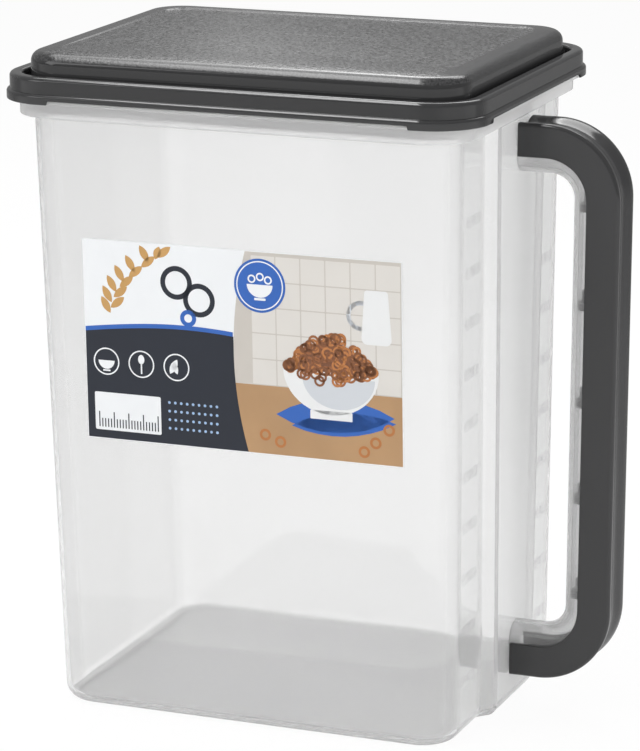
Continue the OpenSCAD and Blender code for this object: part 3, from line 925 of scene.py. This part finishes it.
MARKS_OUT = 55.3
MARK_OUT = 0.3
MARK_SIZE = (21.0, 5.6)
MARK_TUCK = 0.02
MARK_CHAMFER = (0.15, 0.1)
MARK_FLAT = 0.3
MARK_STEPS = 8
NUMBER_SIZE = 5.2
NUMBER_T = 0.02
CUPS_VOLUME = 960000.0
LITRE_VOLUME = 1000000.0
HALF_SLICE = TUB_HEIGHT / 24
LEAN_FRONT = 8.3
# Name, count, cubic millimetres from one mark to the next, step of the numbers, and side of the panel.
COLUMNS = (("cup", 10, CUPS_VOLUME, 4, -MARKS_OUT), ("litre", 8, LITRE_VOLUME, 1, MARKS_OUT))


def fill_heights(count, volume):
    """Heights that equal volumes fill the tub to, with each slice's size taken near its middle."""
    z = FLOOR
    heights = []
    for _ in range(count):
        at = z + HALF_SLICE
        length = between(at, FOOT_X[1], TUB_TOP[0]) - FOOT_X[0] + LEAN_FRONT * at / TUB_HEIGHT - 2 * WALL
        panel = PANEL_OUT * (PANEL_HALF[0] + PANEL_HALF[1])
        z += volume / (length * 2 * (side_y(at) - WALL) + panel)
        heights.append(z)
    return heights


def numeral_mesh(text):
    """Mesh of a plain number, about one unit high, thin and centred."""
    curve = bpy.data.curves.new("numeral", "FONT")
    curve.body = text
    curve.align_x = "CENTER"
    curve.align_y = "CENTER"
    curve.extrude = NUMBER_T
    holder = bpy.data.objects.new("numeral", curve)
    mesh = bpy.data.meshes.new_from_object(holder)
    bpy.data.objects.remove(holder)
    bpy.data.curves.remove(curve)
    return mesh


def pad_rings():
    """Rings of one pad: a long rounded shape with a chamfered rim."""
    half_w, half_h = MARK_SIZE[0] / 2, MARK_SIZE[1] / 2
    pad = box_outline(-half_w, -half_h, half_w, half_h, half_h - MARK_FLAT, MARK_STEPS)
    rim = pad * ((half_w - MARK_CHAMFER[0]) / half_w, (half_h - MARK_CHAMFER[0]) / half_h)
    return [at_height(pad, MARK_TUCK), at_height(pad, MARK_OUT - MARK_CHAMFER[1]), at_height(rim, MARK_OUT)]


def make_marks(pad_material, number_material):
    """Raised pads with plain numbers: cups by fours near the label, litres on the far side."""
    lean = math.atan2(TUB_TOP[0] - FOOT_X[1], TUB_HEIGHT - FOOT_FILLET)
    upright = Matrix.Rotation(lean, 4, "Y") @ Matrix(((0, 0, 1, 0), (1, 0, 0, 0), (0, 1, 0, 0), (0, 0, 0, 1)))
    lift = Matrix.Translation((0, 0, MARK_OUT * MM))
    size = Matrix.Scale(NUMBER_SIZE * MM, 4)
    rings = pad_rings()
    for name, count, volume, step, y in COLUMNS:
        pads = bmesh.new()
        numbers = bmesh.new()
        for n, z in enumerate(fill_heights(count, volume)):
            x = between(z, FOOT_X[1], TUB_TOP[0])
            place = Matrix.Translation((x * MM, y * MM, z * MM)) @ upright
            known = len(pads.verts)
            add_loft(pads, rings)
            pads.verts.ensure_lookup_table()
            bmesh.ops.transform(pads, matrix=place, verts=pads.verts[known:])
            mesh = numeral_mesh(str(step * (n + 1)))
            mesh.transform(place @ lift @ size)
            numbers.from_mesh(mesh)
            bpy.data.meshes.remove(mesh)
        for kind, bm, material in (("marks", pads, pad_material), ("numbers", numbers, number_material)):
            obj = new_object(f"{name}_{kind}", bm, material)
            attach(obj, "keeper")


# --- materials -----------------------------

PLASTIC_IOR = 1.49
# Clear plastic: seen edge-on it gets its edge tone, a painted shade for the darker surroundings its edges
# mirror, its fuller cover and this share of its clearness.
EDGE_CLEAR = 0.5
EDGE_SEEN = (0.5, 0.9)
COVER_SEEN = (0.4, 1.0)
FLOW_SCALE = 9.0
FLOW_STRETCH = (1.0, 1.0, 0.35)
FLOW_SPAN = (0.3, 0.7)
FLOW_BUMP = (0.008, 0.001)
HAZE_SPREAD = (0.7, 1.3)
# Dark plastic: broad clouds and fine dots of tone, and two sizes of grain.
CLOUD_SCALE = 14.0
DOT_SCALE = 1.3
DOT_SPAN = (0.35, 0.65)
DARK_TONES = (0.93, 1.08)
DARK_GLOSS = (0.92, 1.1)
PEBBLE_DEPTH = 0.00025
FINE_SCALE = 2.2
FINE_SHARE = 0.6
FINE_DEPTH = 0.00012
# Printed inks.
INK_GLOSS = 0.32
INK_SPREAD = (0.85, 1.15)
INK_CLOUD = 220.0
INK_GRAIN = 900.0
INK_BUMP = (0.05, 0.0001)
# Screen colour of each ink, how far its tone varies, and how finely.
INKS = {
    "white": ("#eef0f2", 0.02, 60.0),
    "navy": ("#161d2b", 0.10, 60.0),
    "blue": ("#2a62b8", 0.05, 60.0),
    "wall": ("#c9c3bb", 0.06, 18.0),
    "tile": ("#dcd8d2", 0.05, 22.0),
    "table": ("#b58f66", 0.16, 30.0),
    "china": ("#e9eaea", 0.03, 40.0),
    "china_shade": ("#cfd3d8", 0.04, 40.0),
    "heap": ("#7a4b2e", 0.2, 90.0),
    "ring_0": ("#9a5f36", 0.15, 90.0),
    "ring_1": ("#b9763f", 0.15, 90.0),
    "ring_2": ("#83502d", 0.15, 90.0),
    "wheat": ("#c79a5b", 0.12, 60.0),
    "sky": ("#9db9dd", 0.05, 60.0)}
# Tone and edge-on tone (painted shade along the edges), cover and edge-on cover, haze, clearness.
CLEAR_PLASTICS = {
    "tub": (0.965, 0.895, 0.88, 0.95, 0.065, 0.92),
    # The foot's low tone is painted shade, standing in for the shadow under the tub seen through its floor.
    "foot": (0.65, 0.6, 0.9, 0.95, 0.2, 0.4),
    "rim": (0.97, 0.93, 0.95, 1.0, 0.12, 0.6),
    "core": (0.92, 0.9, 0.96, 1.0, 0.09, 0.84),
    "spout": (0.95, 0.85, 0.9, 1.0, 0.06, 0.9),
    "marks": (0.97, 0.92, 0.14, 0.25, 0.15, 0.95),
    "numbers": (0.87, 0.82, 0.28, 0.4, 0.2, 0.7)}
# Tone, roughness, cells per metre of the grain, its strength, and contrast of the dots.
DARK_PLASTICS = {
    "lid_grain": ((0.04, 0.04, 0.041), 0.27, 480.0, 0.8, 5.2),
    "lid_edge": ((0.037, 0.037, 0.038), 0.22, 700.0, 0.1, 3.0),
    "lid_satin": ((0.033, 0.033, 0.034), 0.09, 2200.0, 0.01, 0.0),
    "grip_satin": ((0.033, 0.033, 0.034), 0.16, 2200.0, 0.02, 0.0)}


def srgb(code):
    """Linear colour of a screen colour written as hexadecimal."""
    values = [int(code[k:k + 2], 16) / 255 for k in (1, 3, 5)]
    return tuple(v / 12.92 if v <= 0.04045 else ((v + 0.055) / 1.055) ** 2.4 for v in values)


def scaled(values, factor):
    """The values times the factor."""
    return tuple(v * factor for v in values)


def feed(tree, node, inputs):
    """Links the node's inputs, or sets those that are plain values."""
    for socket, value in inputs.items():
        if isinstance(value, bpy.types.NodeSocket):
            tree.links.new(value, node.inputs[socket])
        else:
            node.inputs[socket].default_value = value


def add_node(tree, kind, inputs):
    """A new node of the kind, with its inputs fed."""
    node = tree.nodes.new(kind)
    feed(tree, node, inputs)
    return node


def map_range(tree, value, levels):
    """The value mapped from one range to another, as from low, from high, to low, to high."""
    names = ("From Min", "From Max", "To Min", "To Max")
    inputs = {**dict(zip(names, levels)), "Value": value}
    return add_node(tree, "ShaderNodeMapRange", inputs).outputs["Result"]


def combined(tree, operation, first, second):
    """Two values put together; either may be a plain number."""
    node = add_node(tree, "ShaderNodeMath", {0: first, 1: second})
    node.operation = operation
    return node.outputs[0]


class Material:
    """A Principled material and the nodes that feed it."""

    def __init__(self, name, color, roughness, **sockets):
        self.mat = bpy.data.materials.new(name)
        self.mat.use_nodes = True
        self.tree = self.mat.node_tree
        self.shader = self.tree.nodes["Principled BSDF"]
        self.set("Base Color", (*color, 1.0))
        self.set("Roughness", roughness)
        for socket, value in sockets.items():
            self.set(socket.replace("_", " "), value)
        self.where = self.tree.nodes.new("ShaderNodeTexCoord").outputs["Object"]

    def set(self, socket, value):
        """Sets one of the shader's values."""
        self.shader.inputs[socket].default_value = value

    def link(self, output, socket):
        """Feeds one of the shader's sockets from a node."""
        self.tree.links.new(output, self.shader.inputs[socket])

    def stretched(self, scale):
        """Object coordinates scaled along each axis."""
        inputs = {"Scale": scale, "Vector": self.where}
        return add_node(self.tree, "ShaderNodeMapping", inputs).outputs["Vector"]

    def noise(self, scale, detail=2.0, where=None):
        """Soft noise, in object coordinates unless others are given."""
        inputs = {"Scale": scale, "Detail": detail, "Vector": self.where if where is None else where}
        return add_node(self.tree, "ShaderNodeTexNoise", inputs).outputs["Fac"]

    def cells(self, scale):
        """Distance to the nearest point of a scatter of cells."""
        inputs = {"Scale": scale, "Vector": self.where}
        return add_node(self.tree, "ShaderNodeTexVoronoi", inputs).outputs["Distance"]

    def facing(self):
        """How far the surface is seen edge-on, from 0 to 1."""
        return add_node(self.tree, "ShaderNodeLayerWeight", {"Blend": 0.5}).outputs["Facing"]

    def ramp(self, value, low, high, from_min=0.0, from_max=1.0):
        """The value mapped from one range to another."""
        return map_range(self.tree, value, (from_min, from_max, low, high))

    def added(self, first, second):
        """The sum of two values."""
        return combined(self.tree, "ADD", first, second)

    def blend(self, value, first, second):
        """Colour that goes from the first to the second with the value, and beyond them."""
        node = self.tree.nodes.new("ShaderNodeMix")
        node.data_type = "RGBA"
        node.clamp_factor = False
        feed(self.tree, node, {"A": (*first, 1.0), "B": (*second, 1.0), "Factor": value})
        return node.outputs["Result"]

    def bump(self, height, strength, distance, under=None):
        """Normal bumped by the height, on top of another bump where one is given."""
        inputs = {"Strength": strength, "Distance": distance, "Height": height}
        if under is not None:
            inputs["Normal"] = under
        return add_node(self.tree, "ShaderNodeBump", inputs).outputs["Normal"]


def clear_plastic(name, tone, edge_shade_tone, cover, edge_cover, haze, clear):
    """Clear polypropylene with a little milk in it, denser where it is seen edge-on, and greyer there by
    painted shade.
    """
    m = Material(name, (tone,) * 3, haze, IOR=PLASTIC_IOR, Transmission_Weight=clear)
    facing = m.facing()
    flow = m.noise(FLOW_SCALE, detail=1.0, where=m.stretched(FLOW_STRETCH))
    # Painted shade: the base colour greys towards the edge tone where the surface is seen edge-on.
    m.link(m.blend(m.ramp(facing, 0.0, 1.0, *EDGE_SEEN), (tone,) * 3, (edge_shade_tone,) * 3), "Base Color")
    m.link(m.ramp(facing, cover, edge_cover, *COVER_SEEN), "Alpha")
    m.link(m.ramp(facing, clear, clear * EDGE_CLEAR, *EDGE_SEEN), "Transmission Weight")
    m.link(m.ramp(flow, haze * HAZE_SPREAD[0], haze * HAZE_SPREAD[1], *FLOW_SPAN), "Roughness")
    m.link(m.bump(flow, *FLOW_BUMP), "Normal")
    return m.mat


def dark_plastic(name, tone, roughness, grain, strength, speckle):
    """Dark grey moulded plastic with a grain, and a tone and gloss that vary a little."""
    m = Material(name, tone, roughness, IOR=PLASTIC_IOR)
    cloud = m.noise(CLOUD_SCALE, detail=3.0)
    dots = m.ramp(m.noise(grain * DOT_SCALE, detail=1.0), -speckle, speckle, *DOT_SPAN)
    shade = m.added(m.ramp(cloud, 0.0, 1.0), dots)
    m.link(m.blend(shade, scaled(tone, DARK_TONES[0]), scaled(tone, DARK_TONES[1])), "Base Color")
    m.link(m.ramp(shade, roughness * DARK_GLOSS[0], roughness * DARK_GLOSS[1]), "Roughness")
    pebbles = m.bump(m.cells(grain), strength, PEBBLE_DEPTH)
    fine = m.noise(grain * FINE_SCALE, detail=3.0)
    m.link(m.bump(fine, strength * FINE_SHARE, FINE_DEPTH, pebbles), "Normal")
    return m.mat


def ink(name, code, variation, scale):
    """Printed colour with a fine uneven tone, on satin film."""
    color = srgb(code)
    m = Material(name, color, INK_GLOSS)
    low, high = (tuple(min(1.0, c) for c in scaled(color, f)) for f in (1 - variation, 1 + variation))
    m.link(m.blend(m.noise(scale, detail=4.0), low, high), "Base Color")
    m.link(m.ramp(m.noise(INK_CLOUD), INK_GLOSS * INK_SPREAD[0], INK_GLOSS * INK_SPREAD[1]), "Roughness")
    m.link(m.bump(m.noise(INK_GRAIN), *INK_BUMP), "Normal")
    return m.mat


# --- room ----------------------------------
# Places and lengths are in metres. Levels are a range along a direction and the level at each end.

FLOOR_SIZE = 6.0
FLOOR_TONE = (0.9, 0.9, 0.9, 1)
WHITE = (1, 1, 1, 1)
FLOOR_GLOW = 0.95
FLOOR_AWAY = (-0.3, 0.95, 0.0)
FLOOR_LEVELS = (-0.1, 0.45, 1.0, 0.4)
AMBIENT = 0.32
SKY = (-0.35, 0.0, 0.94)
SKY_LEVELS = (0.28, 0.44, 0.1, 0.42)
BACKDROP = (-0.45, 0.89, 0.0)
BACKDROP_LEVELS = (-0.4, 0.5, 0.6, 1.0)
LAMP_UPRIGHT = (0.02, 1, 0.01)
# Name, place, target, size, power, and whether gloss mirrors it.
LAMPS = (
    ("key", (-0.60, -0.76, 1.86), (0, 0, 0.33), (0.45, 1.7), 25.0, True),
    ("back", (0.0, 0.86, 1.28), (0.05, 0, 0.33), (1.0, 0.55), 7.5, True),
    ("sheen", (-0.13, 0.30, 0.57), (0, 0, 0.336), (0.24, 0.2), 0.17, True),
    ("top", (-0.40, 0.50, 1.14), (-0.40, 0.501, 0.3), (0.45, 1.0), 5.0, True),
    ("fill_left", (-1.3, -1.6, 0.9), (0, 0, 0.15), (0.9, 0.9), 6.0, True),
    ("fill_right", (1.6, -0.3, 0.7), (0, 0, 0.15), (1.0, 1.0), 12.0, False))


def graded(tree, direction, levels):
    """A level that changes along a direction: with the place on the floor, or with a ray's way to the sky."""
    where = tree.nodes.new("ShaderNodeTexCoord").outputs["Object"]
    towards = add_node(tree, "ShaderNodeVectorMath", {0: where, 1: direction})
    towards.operation = "DOT_PRODUCT"
    return map_range(tree, towards.outputs["Value"], levels)


def mixed(tree, share, first, second, end):
    """Mixes two shaders by the share, into the tree's output of the kind given."""
    inputs = {"Fac": share, 1: first.outputs[0], 2: second.outputs[0]}
    mix = add_node(tree, "ShaderNodeMixShader", inputs)
    add_node(tree, end, {"Surface": mix.outputs[0]})


def floor_material():
    """White to the camera and through clear plastic; mirrored in gloss it fades away from the camera."""
    mat = bpy.data.materials.new("floor")
    mat.use_nodes = True
    tree = mat.node_tree
    tree.nodes.clear()
    path = tree.nodes.new("ShaderNodeLightPath").outputs
    straight = combined(tree, "MAXIMUM", path["Is Camera Ray"], path["Is Transmission Ray"])
    seen = combined(tree, "MAXIMUM", straight, path["Is Glossy Ray"])
    level = combined(tree, "MAXIMUM", straight, graded(tree, FLOOR_AWAY, FLOOR_LEVELS))
    share = combined(tree, "MULTIPLY", seen, FLOOR_GLOW)
    diffuse = add_node(tree, "ShaderNodeBsdfDiffuse", {"Color": FLOOR_TONE})
    glow = add_node(tree, "ShaderNodeEmission", {"Strength": level})
    mixed(tree, share, diffuse, glow, "ShaderNodeOutputMaterial")
    return mat


def make_floor():
    """Plain pale floor under the object."""
    mesh = bpy.data.meshes.new("floor")
    size = FLOOR_SIZE
    corners = [(-size, -size, 0.0), (size, -size, 0.0), (size, size, 0.0), (-size, size, 0.0)]
    mesh.from_pydata(corners, [], [(0, 1, 2, 3)])
    floor = bpy.data.objects.new("floor", mesh)
    bpy.context.scene.collection.objects.link(floor)
    mesh.materials.append(floor_material())


def make_world():
    """White at the back where it is seen straight or through clear plastic; otherwise an even soft light."""
    world = bpy.data.worlds.new("studio")
    bpy.context.scene.world = world
    world.use_nodes = True
    tree = world.node_tree
    tree.nodes.clear()
    path = tree.nodes.new("ShaderNodeLightPath").outputs
    mirrored = combined(tree, "MULTIPLY", graded(tree, SKY, SKY_LEVELS), path["Is Glossy Ray"])
    level = combined(tree, "MAXIMUM", mirrored, AMBIENT)
    light = add_node(tree, "ShaderNodeBackground", {"Color": WHITE, "Strength": level})
    level = graded(tree, BACKDROP, BACKDROP_LEVELS)
    white = add_node(tree, "ShaderNodeBackground", {"Color": WHITE, "Strength": level})
    share = combined(tree, "MAXIMUM", path["Is Camera Ray"], path["Is Transmission Ray"])
    mixed(tree, share, light, white, "ShaderNodeOutputWorld")


def area_light(name, place, target, size, power, mirrored):
    """Rectangular lamp that faces its target; one that gloss doesn't mirror leaves no highlight."""
    data = bpy.data.lights.new(name, "AREA")
    data.shape = "RECTANGLE"
    data.size, data.size_y = size
    data.energy = power
    light = bpy.data.objects.new(name, data)
    bpy.context.scene.collection.objects.link(light)
    back = unit(np.array(place, float) - np.array(target, float))
    side = unit(np.cross(LAMP_UPRIGHT, back))
    up = np.cross(back, side)
    turn = Matrix([side, up, back]).transposed().to_4x4()
    turn.translation = place
    light.matrix_world = turn
    light.visible_glossy = mirrored


# --- the scene -----------------------------

make_camera()
make_floor()
make_world()
for lamp in LAMPS:
    area_light(*lamp)

clear = {name: clear_plastic(f"clear_{name}", *values) for name, values in CLEAR_PLASTICS.items()}
dark = {name: dark_plastic(name, *values) for name, values in DARK_PLASTICS.items()}
inks = {name: ink(f"ink_{name}", *values) for name, values in INKS.items()}

# The foot material is painted shade under the tub.
make_tub(clear["tub"], clear["foot"], clear["rim"])
make_core(clear["core"])
make_grip(dark["grip_satin"])
make_lid(dark["lid_grain"], dark["lid_edge"], dark["lid_satin"])
make_label(inks["white"])
print_label(inks)
make_marks(clear["marks"], clear["numbers"])
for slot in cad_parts["spout_insert"].material_slots:
    slot.material = clear["spout"]

bpy.context.scene.view_settings.view_transform = "Standard"
